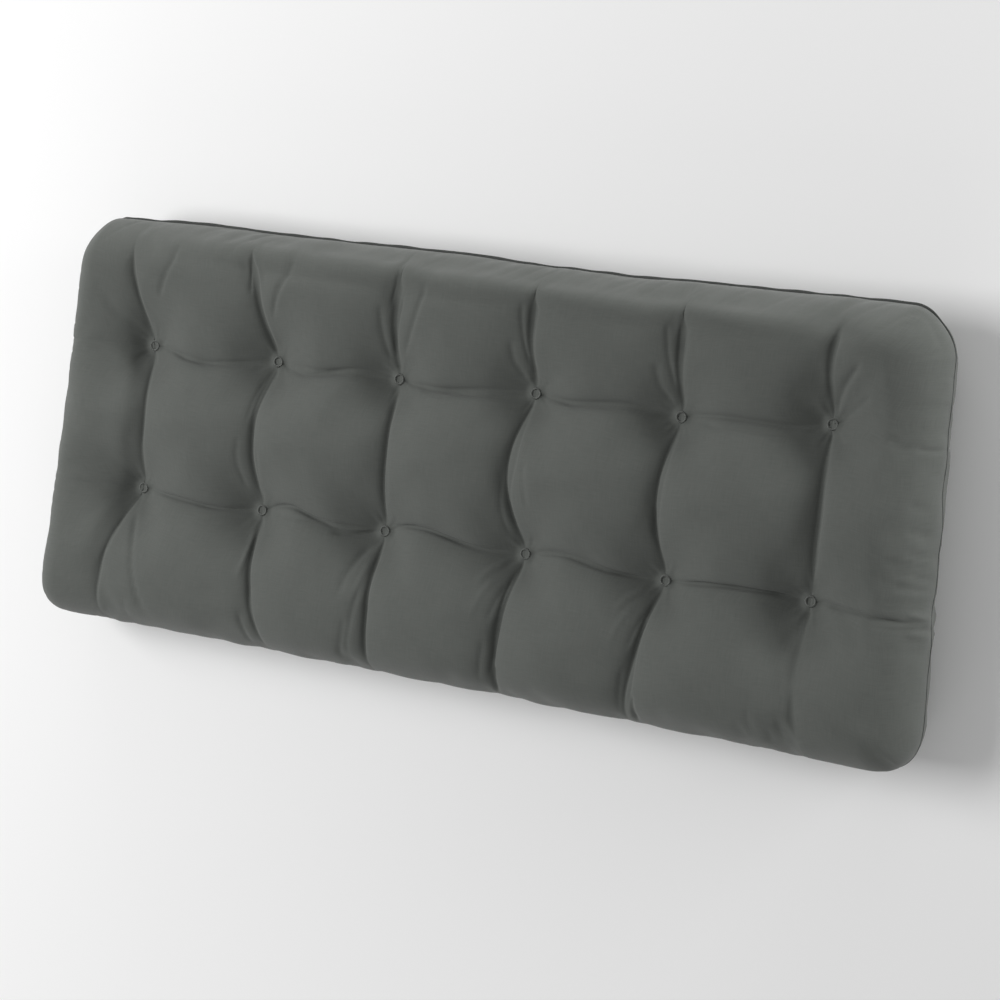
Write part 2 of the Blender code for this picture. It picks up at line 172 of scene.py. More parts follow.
# A fold starts near a tuft, and the same one may stand at more than one of its row: columns are the tufts'
# numbers. The depth is less than 0 for a ridge, left and right are the reach of its two sides, and the
# route is the way from the tuft, all in millimetres.
Fold = namedtuple("Fold", "columns depth left right route")
LOW_FOLDS = (
    # Up the columns, from the lower row of tufts to the upper one
    Fold((0,), 1.3, 6, 2.4, ((-1, 6), (4, 44), (11, 85), (9, 124), (1, 163))),
    Fold((1,), 1.4, 4.4, 2.2, ((0, 7), (-5, 60), (-8, 92), (-8, 122), (0, 165))),
    Fold((1,), 1.1, 3.2, 3, ((-15, 21), (-25, 55), (-24, 89))),
    Fold((1,), 1, 2.6, 2.6, ((1, 28), (2, 75))),
    Fold((1,), 0.9, 3, 3, ((-17, 100), (-12, 132), (-5, 156))),
    Fold((2,), 1.3, 4.4, 2.2, ((1, 10), (3, 56), (4, 92), (4, 130), (1, 165))),
    Fold((2,), 1, 2.6, 2.6, ((8, 34), (10, 78))),
    Fold((3,), 1.3, 4, 2.2, ((-3, 6), (-16, 59), (-11, 102), (-7, 168))),
    Fold((3,), 0.9, 3.2, 3, ((-15, 14), (-26, 47), (-27, 96))),
    Fold((3,), 1.2, 3, 3, ((9, 51), (0, 108))),
    Fold((4,), 1.1, 4, 2.4, ((-6, 22), (-6, 72), (-4, 110), (-1, 172))),
    Fold((4,), 0.9, 3, 3, ((-11, 44), (-12, 82))),
    Fold((5,), 4, 30, 5, ((0, 14), (5, 60), (6, 101), (5, 131), (1, 178))),
    # Along the lower row
    Fold((0,), 3, 2.2, 1.8, ((15, -1), (75, -3), (120, -7), (164, -4))),
    Fold((1,), 3.6, 2, 1.8, ((9, 4), (50, 12), (94, 3), (161, 0))),
    Fold((1,), 2.2, 2, 1.8, ((13, 0), (55, -1), (96, 2))),
    Fold((1,), 1, 2.6, 2.6, ((23, -8), (62, -6))),
    Fold((1,), 2.8, 2, 2.2, ((106, -9), (130, -8), (162, -1))),
    Fold((2,), 4, 2, 1.8, ((8, 8), (61, 12), (121, 3), (174, 1))),
    Fold((3,), 4, 2, 1.8, ((9, 2), (58, 8), (108, 0), (166, -4))),
    Fold((4,), 4.2, 2, 1.8, ((15, 1), (66, 7), (117, 8), (164, 5))),
    Fold((5,), 3.6, 2, 1.8, ((11, 0), (52, 1), (103, -3), (123, -4))),
    Fold((5,), 1.9, 2.6, 2.6, ((23, -2), (73, -1))),
    # The soft ridge that stands along the left hand end
    Fold(
        (0,), -4.2, 22, 15,
        ((-66, -128), (-60, -90), (-42, -40), (-29, 0), (-22, 50), (-18, 100), (-28, 160), (-44, 250)),
    ),
    # From the lower row on down to the rim, listed from the rim
    Fold((0,), 1.2, 4, 2.6, ((-38, -155), (-33, -109), (-31, -87), (-22, -62), (-9, -13))),
    Fold((0,), 3.4, 3, 2.4, ((42, -153), (32, -131), (20, -101), (10, -64), (-2, -21))),
    Fold((0,), 1.4, 3, 3, ((5, -156), (9, -129))),
    Fold((1,), 2.2, 4, 2.2, ((28, -150), (12, -113), (7, -85), (2, -46), (-2, -10))),
    Fold((1,), 1.8, 3, 3, ((9, -157), (4, -136), (-3, -116))),
    Fold((1,), -1.4, 3.4, 3.4, ((-9, -82), (-3, -49), (-2, -19))),
    Fold((2,), 2.2, 3.6, 2.2, ((2, -157), (0, -111), (-1, -62), (0, -7))),
    Fold((2,), 1.8, 4, 4, ((-37, -83), (-31, -55), (-20, -30), (-6, -13))),
    Fold((2,), 1.5, 4, 3.4, ((-21, -152), (-18, -104), (-12, -57))),
    Fold((2,), 1.8, 3.6, 3.4, ((-32, -154), (-27, -122), (-26, -98))),
    Fold((2,), -0.9, 3.4, 3.4, ((-20, -85), (-8, -34))),
    Fold((3, 4), 2.2, 3.6, 2.2, ((-23, -150), (-17, -120), (-17, -90), (-13, -50), (-5, -12))),
    Fold((3, 4), 1.5, 5, 3.4, ((-28, -79), (-21, -55), (-13, -34))),
    Fold((3, 4), 3.2, 2.6, 2.6, ((-15, -158), (-14, -123))),
    Fold((3, 4), -1, 3.4, 3.4, ((-47, -41), (-35, -23), (-16, -10))),
    Fold((3, 4), -0.8, 3.4, 3.4, ((-46, -79), (-39, -52), (-26, -29))),
    Fold((3, 4), 1, 3.4, 3.4, ((-32, -148), (-30, -94))),
    Fold((5,), 5.4, 34, 26, ((14, -160), (8, -131), (3, -101), (0, -72), (-1, -42), (0, -18))),
    Fold((5,), 1.4, 5, 4, ((-38, -152), (-44, -122), (-48, -99))),
    Fold((5,), 1.2, 4, 4, ((-49, -153), (-58, -133))),
    Fold((5,), 1, 5, 4, ((-4, -152), (-9, -133), (-12, -114))),
    Fold((5,), 0.9, 4, 4, ((-18, -155), (-22, -137))),
    # Across the strip at the right hand end
    Fold((5,), -2.8, 3.2, 3.2, ((112, 5), (125, 0), (127, -10))),
    Fold((5,), -2.2, 3.2, 3.2, ((112, -14), (125, -18), (127, -24))),
    Fold((5,), 3, 2.8, 2.4, ((84, 57), (107, 55), (126, 52))),
    Fold((5,), 2.8, 2.8, 2.4, ((92, 48), (111, 46), (127, 41))),
    Fold((5,), 2.6, 2.8, 2.4, ((96, 33), (111, 32), (125, 30))),
    Fold((5,), 2.4, 2.8, 2.4, ((104, 67), (127, 62))),
    Fold((5,), 2, 3.6, 3.6, ((103, 92), (124, 85))),
    Fold((5,), 1.7, 3.6, 3.6, ((103, 118), (123, 111))),
    Fold((5,), 1.4, 3.6, 3.6, ((103, 175), (121, 173))),
)
HIGH_FOLDS = (
    # Along the upper row
    Fold((0,), 2.2, 2.4, 2, ((30, -3), (73, -10), (114, -7), (164, 0))),
    Fold((1,), 1.6, 3, 2.4, ((13, 1), (59, -2), (104, -1), (154, -1))),
    Fold((2,), 2, 3.4, 2.6, ((17, -2), (71, -3), (129, -4), (165, 1))),
    Fold((2,), 0.9, 2.6, 2.6, ((33, -7), (82, -13))),
    Fold((3,), 1.4, 3, 2.4, ((15, -2), (64, -3), (119, 0), (170, -4))),
    Fold((3,), 0.9, 2.6, 2.6, ((18, 3), (80, -12))),
    Fold((4,), 1.2, 3, 2.4, ((12, 5), (82, 8), (129, 7), (159, 10))),
    Fold((4,), 0.8, 2.6, 2.6, ((33, -3), (60, -7))),
    Fold((0, 1, 2, 3, 4), 1.4, 15, 3, ((12, -1), (60, -5), (110, -5), (162, -1))),
    # From the upper row on up towards the rim
    Fold((0,), 2.3, 6, 2.2, ((-3, 5), (-7, 29), (-12, 60), (-19, 85), (-22, 112))),
    Fold((0,), 2.9, 3, 2, ((19, 56), (29, 81), (40, 106), (42, 129))),
    Fold((1,), 1.8, 5.5, 2.4, ((0, 5), (-10, 32), (-17, 61), (-23, 92), (-30, 115))),
    Fold((1,), 1.8, 3, 3, ((-29, 72), (-31, 95), (-34, 124))),
    Fold((1,), 2.7, 3.4, 2.2, ((0, 46), (10, 80), (25, 113), (28, 140))),
    Fold((2,), 1.5, 3, 3, ((-5, 78), (-1, 108), (3, 132), (4, 144))),
    Fold((2,), 2, 3, 3, ((-4, 16), (-1, 48), (3, 73), (9, 99))),
    Fold((2,), 2.2, 3.5, 2.6, ((9, 25), (24, 59), (34, 91), (43, 120))),
    Fold((2,), 1.6, 4, 4, ((-8, 15), (-15, 47), (-19, 88))),
    Fold((3, 4), 1.3, 3, 2.2, ((0, 8), (-1, 45), (0, 79), (2, 110))),
    Fold((3, 4), 1.3, 2.6, 2.6, ((-5, 26), (-11, 60), (-14, 86), (-14, 105))),
    Fold((3, 4), 1.4, 3.4, 3.4, ((-9, 13), (-22, 32), (-26, 59))),
    Fold((5,), 4, 24, 18, ((-1, 16), (-2, 40), (0, 59), (3, 81), (8, 100), (13, 116))),
    Fold((5,), 1.2, 3.6, 2.6, ((-1, 20), (-2, 50), (2, 76), (8, 100))),
    Fold((5,), 3.2, 5, 3, ((3, 8), (7, 26), (15, 41), (25, 55), (37, 71))),
    Fold((5,), 2, 4, 3.4, ((8, 4), (32, 22), (50, 38))),
    # The brow where the face turns over into the upper flank, and the broad hollow below it
    Fold((0,), -4.5, 9, 12, ((-53, 121), (109, 127), (428, 119), (705, 115), (933, 118))),
    Fold((0,), 4.4, 10, 54, ((-20, 102), (109, 107), (428, 100), (705, 96), (900, 99))),
)
FOLDS = (LOW_FOLDS, HIGH_FOLDS)
FOLD_POWER = 1.4  # how sharp the bottom of a fold is: 1 is a knife edge, and 2 is round
RIDGE_POWER = 2.0  # and how sharp the top of a ridge is
FOLD_TAPER = 0.22  # the share of its length over which a fold dies out at each end
FOLD_REACHES = 4.0  # so many times its reach from its line, a fold has died out
ROUTE_STEPS = 6  # from one point of a route to the next
FOLD_HOLD = 0.016  # within this distance of the seam a fold dies out too
BACK_FOLDS = 0.5  # the back has the same folds, at this share of their depth

# The seam and what it gathers
SEAM_INSET = 0.3 * MM  # how far the sewn edge draws the two panels in
SEAM_HALF_WIDTH = 3.0 * MM
SEAM_THICKNESS = 0.8 * MM  # half the height of the sewn edge itself
SEAM_WIDTH = 0.55 * MM  # how far it stands out
# Along the top edge the dark seam is made wider as painted shade, standing for the shaded back panel beyond
# the seam
SEAM_TOP_PAINTED_SHADE_WIDTH = 3.0 * MM  # the same along the top edge
SEAM_SIDES = 6
SEAM_UNEVEN = 0.16  # how much wider and narrower it gets along its length
SEAM_UNEVEN_LENGTHS = (0.026, 0.044, 0.080)
SEAM_UNEVEN_WAVES = 6
SEAM_UNEVEN_LIMIT = 2.0
FULLNESS = 1.3 * MM  # how far the cloth stands out next to the seam, and how far from it
FULLNESS_PLACE = 0.016
FULLNESS_REACH = 0.014
BACK_TUCK = 3.6 * MM  # how much less full the back is, further down
BACK_TUCK_PLACE = 0.024
BACK_TUCK_REACH = 0.018
TUCK_LENGTHS = (0.030, 0.042, 0.060)  # of the waves whose crossings are the small tucks at the seam
TUCK_WAVES = 9
TUCK_SHARPNESS = 2.2
TUCK_DEPTH = 1.5 * MM
TUCK_BOTTOM_SHARE = 0.45  # of that depth, along the bottom edge
TUCK_REACH = 0.056
TUCK_LEAN = 0.7  # how far the tucks of a long edge lean over as they run in from the seam
TUCK_HOLD = 0.004  # within this distance of the seam a tuck dies out
TUCK_PATCH_LENGTHS = (0.17, 0.26)  # of the stretches of the rim with deeper and with shallower tucks
TUCK_PATCH_WAVES = 4
TUCK_PATCH_FLOOR = 0.25  # the share of their depth that the shallowest keep
RIM_WANDER = 0.8 * MM  # how far the seam wanders in and out along the rim
RIM_WANDER_LENGTHS = (0.060, 0.100, 0.170)
RIM_WANDER_WAVES = 6
# How far the top edge stands out at places along it: pairs of x and of how far, in millimetres
TOP_EDGE = (
    (-520, 0), (-440, 3), (-330, 3.2), (-250, 0.8), (-130, 3.2), (0, 1.4),
    (70, -0.6), (210, -1.2), (330, 0.8), (430, 3), (520, 2),
)
TOP_EDGE_REACH = 0.040

# What the fill and the thread do to the cloth elsewhere
LUMP_LENGTHS = (0.045, 0.070, 0.110)
LUMP_WAVES = 18
LUMP_DEPTH = 0.22 * MM
GATHER_DEPTH = 0.26 * MM  # of the small folds round a tuft, which are deepest at this radius
GATHER_RADIUS = 0.017
GATHER_REACH = 0.009
GATHER_FOLDS = (7, 11, 16)  # how many run in, in each of three sets
TUFT_PAD = 3.7 * MM  # how far the cloth stands up inside the ring of a tack and next to it
TUFT_PAD_REACH = 9.6 * MM
TUFT_PAD_POWER = 4.0  # 2 is a round pad, and more is a flatter one

# The cloth simulation
SETTLE_STEP = 4  # it runs on every fourth line of the grid
SETTLE_FRAMES = 20
SETTLE_PRESSURE = 4.0  # of the fill
SETTLE_SHRINK = -0.015  # less than 0 gives the cloth some slack
SETTLE_CAP = 5.0 * MM  # how far a point may move
SETTLE_PIN_CREASE = 0.55  # how firmly a crease is held

# Tacks: a thread that is wound round and round a ring
RING_RADIUS = 5.4 * MM
RING_THICKNESS = 1.05 * MM
RING_LIFT = 5.0 * MM  # from BACK_SEAT down to the middle of a ring on the back
RING_TURNS = 35
RING_STEPS = 6
RING_UNEVEN = 0.10  # how much looser and tighter it is wound
RING_UNEVEN_LENGTHS = (0.21, 0.34)  # as shares of the way round
RING_UNEVEN_WAVES = 4
THREAD_RADIUS = 0.46 * MM
THREAD_SIDES = 6

# Weave
THREAD_PITCH = 0.0011
SLUB_LENGTH = 0.020
SLUB_TONE = 0.5  # how far the slubs, the dye and the threads each change the tone
DYE_TONE = 0.35
THREAD_TONE = 0.12
DYE_SCALE = 9.0
SLUB_HEIGHT = 0.6  # beside a thread's height of 1
DARKEST_CLOTH = (0.088, 0.094, 0.087, 1.0)
PALEST_CLOTH = (0.114, 0.121, 0.112, 1.0)

FLOOR_SIZE = 30.0
FLOOR_GAP = 0.2 * MM  # keeps the floor clear of the cloth that lies on it

ROOM_LIGHT = 0.270
# Soft lamps: a key over the left end, low ones behind and past the right end, and a weak fill
Lamp = namedtuple("Lamp", "name place target width height power")
LAMPS = (
    Lamp("key", (-2.6, 0.35, 2.6), (0.0, 0.0, 0.0), 2.2, 2.2, 111.0),
    Lamp("back", (-0.1, 2.6, 0.30), (0.0, 0.2, 0.06), 2.8, 0.4, 27.0),
    Lamp("edge", (2.1, 0.8, 0.21), (0.4, 0.0, 0.05), 1.0, 0.25, 24.0),
    Lamp("fill", (0.2, -2.2, 0.5), (0.0, -0.1, 0.05), 2.0, 2.0, 11.0),
)

# The camera stands high up past the right end and looks down at the face.
CAMERA_PLACE = Vector((1.4847, 0.3272, 2.6968))
CAMERA_RIGHT = Vector((0.86871, 0.09417, -0.48629))
CAMERA_UP = Vector((-0.13855, 0.98877, -0.05603))
CAMERA_LENS = 97.2
CAMERA_SENSOR = 36.0


def share_of_bay(value, start, stop):
    """Where value lies from start (0) to stop (1)."""
    return np.clip((value - start) / (stop - start), 0.0, 1.0)


def smooth(value):
    value = np.clip(value, 0.0, 1.0)
    return value * value * (3.0 - 2.0 * value)


def unit(vectors):
    return vectors / np.maximum(np.linalg.norm(vectors, axis=-1, keepdims=True), TINY)


def line_weight(value, stations, index):
    """1 on station number index, falling smoothly to 0 at the stations on both sides of it."""
    below = stations[index - 1] if index else stations[0] - 1.0
    above = stations[index + 1] if index + 1 < len(stations) else stations[-1] + 1.0
    here = stations[index]
    return smooth(np.minimum((value - below) / (here - below), (above - value) / (above - here)))


def bow(share):
    """0 at both ends of a stretch, 1 half way, and level with the lattice next to each tuft."""
    return np.sin(np.pi * share) ** BOW_POWER


def column_shift(index, y):
    """How far a column's crease stands from its lattice line, towards +X, at lattice place y."""
    column = COLUMNS[index]
    low = share_of_bay(y, STATIONS_Y[0], STATIONS_Y[1])
    middle = share_of_bay(y, STATIONS_Y[1], STATIONS_Y[2])
    high = share_of_bay(y, STATIONS_Y[2], STATIONS_Y[3])
    shift = column.low_x + (column.high_x - column.low_x) * middle
    shift = shift + column.bottom_drift * (1.0 - low) + column.bottom_bow * bow(low)
    shift = shift + column.middle_bow * bow(middle)
    shift = shift + column.top_drift * high + column.top_bow * bow(high)
    return shift * MM


def row_shift(index, x):
    """How far a row's crease stands from its lattice line, towards +Y, at lattice place x."""
    heights = [column.high_y if index else column.low_y for column in COLUMNS]
    shift = np.interp(x, STATIONS_X, (heights[0], *heights, heights[-1]))
    for bay, span in enumerate(ROWS[index]):
        share = share_of_bay(x, STATIONS_X[bay], STATIONS_X[bay + 1])
        shift = shift + span.bow * bow(share) + span.swing * np.sin(2.0 * np.pi * share)
    return shift * MM


def warp(x, y):
    """Moves points of the regular lattice to where the cloth has them, with the body's middle at X = 0."""
    end_share = -2.0 * y / WIDTH
    shift_x = RIGHT_SLANT * end_share * line_weight(x, STATIONS_X, len(STATIONS_X) - 1)
    shift_x = shift_x - LEFT_SLANT * end_share * line_weight(x, STATIONS_X, 0)
    for index in range(len(COLUMNS)):
        shift_x = shift_x + column_shift(index, y) * line_weight(x, STATIONS_X, index + 1)
    shift_y = 0.0
    for index in range(len(ROWS)):
        shift_y = shift_y + row_shift(index, x) * line_weight(y, STATIONS_Y, index + 1)
    return x + shift_x - MIDDLE_X, y + shift_y


def valley(distance, reach):
    """1 on a crease, 0 from reach on, steeper towards the crease, where two full puffs press together."""
    inward = np.clip(1.0 - distance / reach, 0.0, 1.0)
    return 1.0 - (1.0 - inward**2) ** CREASE_TIGHTNESS


def dimple(from_tuft):
    """1 at a tuft, falling off like a funnel with a rounded bottom."""
    away = np.hypot(from_tuft, DIMPLE_ROUNDING) - DIMPLE_ROUNDING
    return np.clip(1.0 - away / DIMPLE_REACH, 0.0, 1.0) ** 2


def between_tufts(share, depth):
    """A crease's depth along a stretch with a tuft at both ends."""
    return depth + (CREASE_END - depth) * np.abs(2.0 * share - 1.0) ** DEEPENING_BETWEEN


def out_to_rim(share, depth, rim_depth):
    """A crease's depth along a stretch from a tuft (0), through depth half way, to the rim (1)."""
    near = depth + (CREASE_END - depth) * (1.0 - np.minimum(2.0 * share, 1.0)) ** DEEPENING_TO_RIM
    far = (rim_depth - depth) * smooth(2.0 * share - 1.0)
    return near + far


def column_depth(index, y):
    depths = COLUMN_DEPTHS[index]
    low = share_of_bay(y, STATIONS_Y[1], STATIONS_Y[0])
    middle = share_of_bay(y, STATIONS_Y[1], STATIONS_Y[2])
    high = share_of_bay(y, STATIONS_Y[2], STATIONS_Y[3])
    inner = between_tufts(middle, depths.middle)
    below = out_to_rim(low, depths.bottom, depths.bottom_rim)
    above = out_to_rim(high, depths.top, depths.top_rim)
    return np.where(y < STATIONS_Y[1], below, np.where(y > STATIONS_Y[2], above, inner))


def row_depth(index, x):
    spans = ROWS[index]
    depth = np.zeros_like(x)
    for bay in range(1, len(spans) - 1):
        inside = (x >= STATIONS_X[bay]) & (x <= STATIONS_X[bay + 1])
        share = share_of_bay(x, STATIONS_X[bay], STATIONS_X[bay + 1])
        depth = np.where(inside, between_tufts(share, spans[bay].depth), depth)
    left = share_of_bay(x, STATIONS_X[1], STATIONS_X[0])
    right = share_of_bay(x, STATIONS_X[-2], STATIONS_X[-1])
    depth = np.where(x < STATIONS_X[1], out_to_rim(left, spans[0].depth, 0.0), depth)
    return np.where(x > STATIONS_X[-2], out_to_rim(right, spans[-1].depth, 0.0), depth)


def tuft_places():
    """Two grids, x and y, of where the tufts stand, with the low row first."""
    lattice_x, lattice_y = np.meshgrid(LATTICE_X, LATTICE_Y)
    return warp(lattice_x, lattice_y)


def each_tuft():
    """(x, y) of one tuft after another."""
    places_x, places_y = tuft_places()
    return zip(places_x.flat, places_y.flat)


def drop_share(lattice_x, lattice_y, plan_x, plan_y):
    """How far the surface lies below a puff's crest, from 0 on the crest to about 1 at a tuft."""
    total = np.zeros_like(lattice_x)
    for index, line in enumerate(LATTICE_X):
        crease = valley(np.abs(lattice_x - line), CREASE_REACH)
        total += (crease * column_depth(index, lattice_y)) ** BLEND_POWER
    for index, line in enumerate(LATTICE_Y):
        outward = (lattice_y - line) * (1.0 if index else -1.0)
        reach = np.where(outward > 0, RIM_CREASE_REACH, CREASE_REACH)
        crease = valley(np.abs(outward), reach)
        total += (crease * row_depth(index, lattice_x)) ** BLEND_POWER
    for tuft_x, tuft_y in each_tuft():
        total += dimple(np.hypot(plan_x - tuft_x, plan_y - tuft_y)) ** BLEND_POWER
    share = total ** (1.0 / BLEND_POWER)
    return share / (1.0 + share**SEAT_SOFTNESS) ** (1.0 / SEAT_SOFTNESS)


def graded(start, stop, cells, grading):
    """Places from start up to, not including, stop, closer together at both ends."""
    share = np.arange(cells) / cells
    eased = share - grading * np.sin(2.0 * np.pi * share) / (2.0 * np.pi)
    return list(start + (stop - start) * eased)


def strip(tuft, crest):
    """Places from a tuft out to the crest beside the rim, closer together at the tuft."""
    share = np.arange(STRIP_CELLS + 1) / STRIP_CELLS
    return list(tuft + (crest - tuft) * share**STRIP_GRADING)


def grid_lines(axis):
    """(place, flank) of an axis's grid lines: flank is 0 inside and runs to 1 or -1 at the two rims."""
    stations = axis.stations
    turn = np.arange(FLANK_CELLS + 1) / FLANK_CELLS * np.pi / 2.0
    first_crest = stations[0] + FLANK
    last_crest = stations[-1] - FLANK
    lines = [(first_crest - FLANK * np.sin(t), -np.sin(t)) for t in turn[:0:-1]]
    inner = strip(stations[1], first_crest)[:0:-1]
    for start, stop in zip(stations[1:-2], stations[2:-1]):
        inner += graded(start, stop, axis.puff_cells, axis.grading)
    inner += strip(stations[-2], last_crest)
    lines += [(place, 0.0) for place in inner]
    lines += [(last_crest + FLANK * np.sin(t), np.sin(t)) for t in turn[1:]]
    return lines


def lattice_grid(step=1):
    """Where the grid's points stand on the lattice, and their flanks: x, y, flank_x and flank_y."""
    along = np.array(grid_lines(ALONG))[::step]
    across = np.array(grid_lines(ACROSS))[::step]
    return (*np.meshgrid(along[:, 0], across[:, 0]), *np.meshgrid(along[:, 1], across[:, 1]))


def corner_power(flank_x, flank_y):
    top = np.where(flank_x < 0, TOP_LEFT_POWER, TOP_RIGHT_POWER)
    bottom = np.where(flank_x < 0, BOTTOM_LEFT_POWER, BOTTOM_RIGHT_POWER)
    return np.where(flank_y > 0, top, bottom)


def round_corners(x, y, flank_x, flank_y):
    """Draws the grid's square corners in, so that each ring of the flank runs round them."""
    reach = np.maximum(np.abs(flank_x), np.abs(flank_y))
    power = corner_power(flank_x, flank_y)
    norm = (np.abs(flank_x) ** power + np.abs(flank_y) ** power) ** (1.0 / power)
    scale = np.where(reach > 0, reach / np.maximum(norm, TINY), 1.0)
    return x - flank_x * FLANK * (1.0 - scale), y - flank_y * FLANK * (1.0 - scale), reach


def rim_notches(x, y, reach):
    """How far creases that reach the long edges pull them in towards the middle, as a shift along Y."""
    pull = np.zeros_like(x)
    for index, line in enumerate(LATTICE_X):
        near = np.exp(-(((x - line) / RIM_NOTCH_REACH) ** 2))
        rim_depth = np.where(y > 0, COLUMN_DEPTHS[index].top_rim, COLUMN_DEPTHS[index].bottom_rim)
        pull += near * rim_depth / max(depths.bottom_rim for depths in COLUMN_DEPTHS)
    return -np.sign(y) * RIM_NOTCH * pull * reach**3


def flank_power(flank_x, flank_y):
    """How square the flank's section is: 2 is a quarter of an ellipse, and more is fuller further out."""
    by_x = np.where(flank_x < 0, LEFT_FLANK_POWER, RIGHT_FLANK_POWER)
    by_y = np.where(flank_y < 0, BOTTOM_FLANK_POWER, TOP_FLANK_POWER)
    weight_x = flank_x**2 + TINY
    weight_y = flank_y**2 + TINY
    return (by_x * weight_x + by_y * weight_y) / (weight_x + weight_y)


def panel_points(side):
    """The points of one panel, as rows of (x, y, z): side is 1 for the front and -1 for the back."""
    x, y, flank_x, flank_y = lattice_grid()
    x, y, reach = round_corners(x, y, flank_x, flank_y)
    plan_x, plan_y = warp(x, y)
    drop = drop_share(x, y, plan_x, plan_y)
    plan_y = plan_y + rim_notches(x, y, reach)
    rise = np.sqrt(1.0 - np.minimum(reach, 1.0) ** flank_power(flank_x, flank_y))
    crown, seat = (FRONT_CROWN, FRONT_SEAT) if side > 0 else (BACK_CROWN, BACK_SEAT)
    height = rise * (crown - (crown - seat) * drop)
    z = np.maximum(SEAM_HEIGHT + side * height, 0.0)
    return np.stack([plan_x, plan_y, z], axis=-1)


# ---- The cloth's own relief ----


def grid_normals(points, side):
    """The outward unit normal at each point of a panel."""
    along = np.gradient(points, axis=1)
    across = np.gradient(points, axis=0)
    return unit(np.cross(along, across) * side)


def ripples(x, y, lengths, count, random):
    """An even, random relief of about unit height: waves of these lengths, in random directions."""
    height = np.zeros_like(x)
    for number in range(count):
        length = lengths[number % len(lengths)]
        turn = random.uniform(0.0, 2.0 * np.pi)
        phase = random.uniform(0.0, 2.0 * np.pi)
        height += np.sin(2.0 * np.pi / length * (x * np.cos(turn) + y * np.sin(turn)) + phase)
    return height * np.sqrt(2.0 / count)


def fold_section(distance, left, right, power):
    """A fold's section: 1 in its middle, falling off over left on one side and over right on the other."""
    width = np.where(distance > 0, left, right)
    return np.exp(-((np.abs(distance) / width) ** power))


def rounded_route(route):
    """A smooth line through the route's points."""
    points = np.array(route, dtype=float) * MM
    if len(points) < 3:
        return points
    ends = np.concatenate([[2 * points[0] - points[1]], points, [2 * points[-1] - points[-2]]])
    line = []
    for before, start, stop, after in zip(ends[:-3], ends[1:-2], ends[2:-1], ends[3:]):
        for t in np.arange(ROUTE_STEPS) / ROUTE_STEPS:
            line.append(
                0.5 * (2 * start + (stop - before) * t
                       + (2 * before - 5 * start + 4 * stop - after) * t**2
                       + (3 * start - before - 3 * stop + after) * t**3)
            )
    line.append(points[-1])
    return np.array(line)


def fold_depth(fold, tuft, x, y):
    """How deep one fold is at each point of the plan, when it starts from the given tuft."""
    line = rounded_route(fold.route) + tuft
    reach = FOLD_REACHES * max(fold.left, fold.right) * MM
    low, high = line.min(axis=0) - reach, line.max(axis=0) + reach
    near = (x > low[0]) & (x < high[0]) & (y > low[1]) & (y < high[1])
    points = np.stack([x[near], y[near]], axis=-1)
    nearest = np.full(len(points), np.inf)
    signed = np.zeros(len(points))
    share = np.zeros(len(points))
    lengths = np.linalg.norm(np.diff(line, axis=0), axis=1)
    passed = 0.0
    for start, stop, length in zip(line[:-1], line[1:], lengths):
        way = (stop - start) / length
        along = np.clip((points - start) @ way, 0.0, length)
        offset = points - start - along[:, None] * way
        distance = np.linalg.norm(offset, axis=1)
        closer = distance < nearest
        side = np.sign(way[0] * offset[:, 1] - way[1] * offset[:, 0])
        nearest = np.where(closer, distance, nearest)
        signed = np.where(closer, distance * side, signed)
        share = np.where(closer, (passed + along) / lengths.sum(), share)
        passed += length
    taper = smooth(share / FOLD_TAPER) * smooth((1.0 - share) / FOLD_TAPER)
    depth = np.zeros_like(x)
    power = FOLD_POWER if fold.depth > 0 else RIDGE_POWER
    depth[near] = fold.depth * MM * taper * fold_section(signed, fold.left * MM, fold.right * MM, power)
    return depth


def gathers(x, y, random):
    """The small folds that run in to each tuft from all round it."""
    height = np.zeros_like(x)
    for tuft_x, tuft_y in each_tuft():
        away = np.hypot(x - tuft_x, y - tuft_y)
        turn = np.arctan2(y - tuft_y, x - tuft_x)
        ring = np.exp(-(((away - GATHER_RADIUS) / GATHER_REACH) ** 2))
        for folds in GATHER_FOLDS:
            phase = random.uniform(0.0, 2.0 * np.pi)
            height += ring * np.sin(folds * turn + phase) / len(GATHER_FOLDS) ** 0.5
    return height


def rim_places(points):
    """For each point: the way out over the rim, how far away the seam is, and the seam's nearest point."""
    _, _, flank_x, flank_y = lattice_grid()
    length = np.hypot(flank_x, flank_y)
    out_x = flank_x / np.maximum(length, TINY)
    out_y = flank_y / np.maximum(length, TINY)
    reach = np.minimum(np.maximum(np.abs(flank_x), np.abs(flank_y)), 1.0)
    rest = (1.0 - reach) * FLANK
    from_seam = np.arccos(reach) * FLANK
    return out_x, out_y, from_seam, points[..., 0] + out_x * rest, points[..., 1] + out_y * rest


def bump(distance, place, reach):
    """1 at place, falling off softly over reach on both sides."""
    return np.exp(-(((distance - place) / reach) ** 2))


def seam_shift(side, out_y, from_seam, seam_x, seam_y, random):
    """How far the cloth near the seam moves outwards."""
    wander = RIM_WANDER * ripples(seam_x, seam_y, RIM_WANDER_LENGTHS, RIM_WANDER_WAVES, random)
    shift = wander * np.exp(-from_seam / FULLNESS_REACH)
    upward = np.maximum(out_y, 0.0)
    places, outs = np.array(TOP_EDGE).T * MM
    shift += np.interp(seam_x, places, outs) * upward * np.exp(-from_seam / TOP_EDGE_REACH)
    shift += FULLNESS * bump(from_seam, FULLNESS_PLACE, FULLNESS_REACH)
    shift -= SEAM_INSET * bump(from_seam, 0.0, SEAM_HALF_WIDTH)
    if side < 0:
        shift -= BACK_TUCK * bump(from_seam, BACK_TUCK_PLACE, BACK_TUCK_REACH)
    return shift


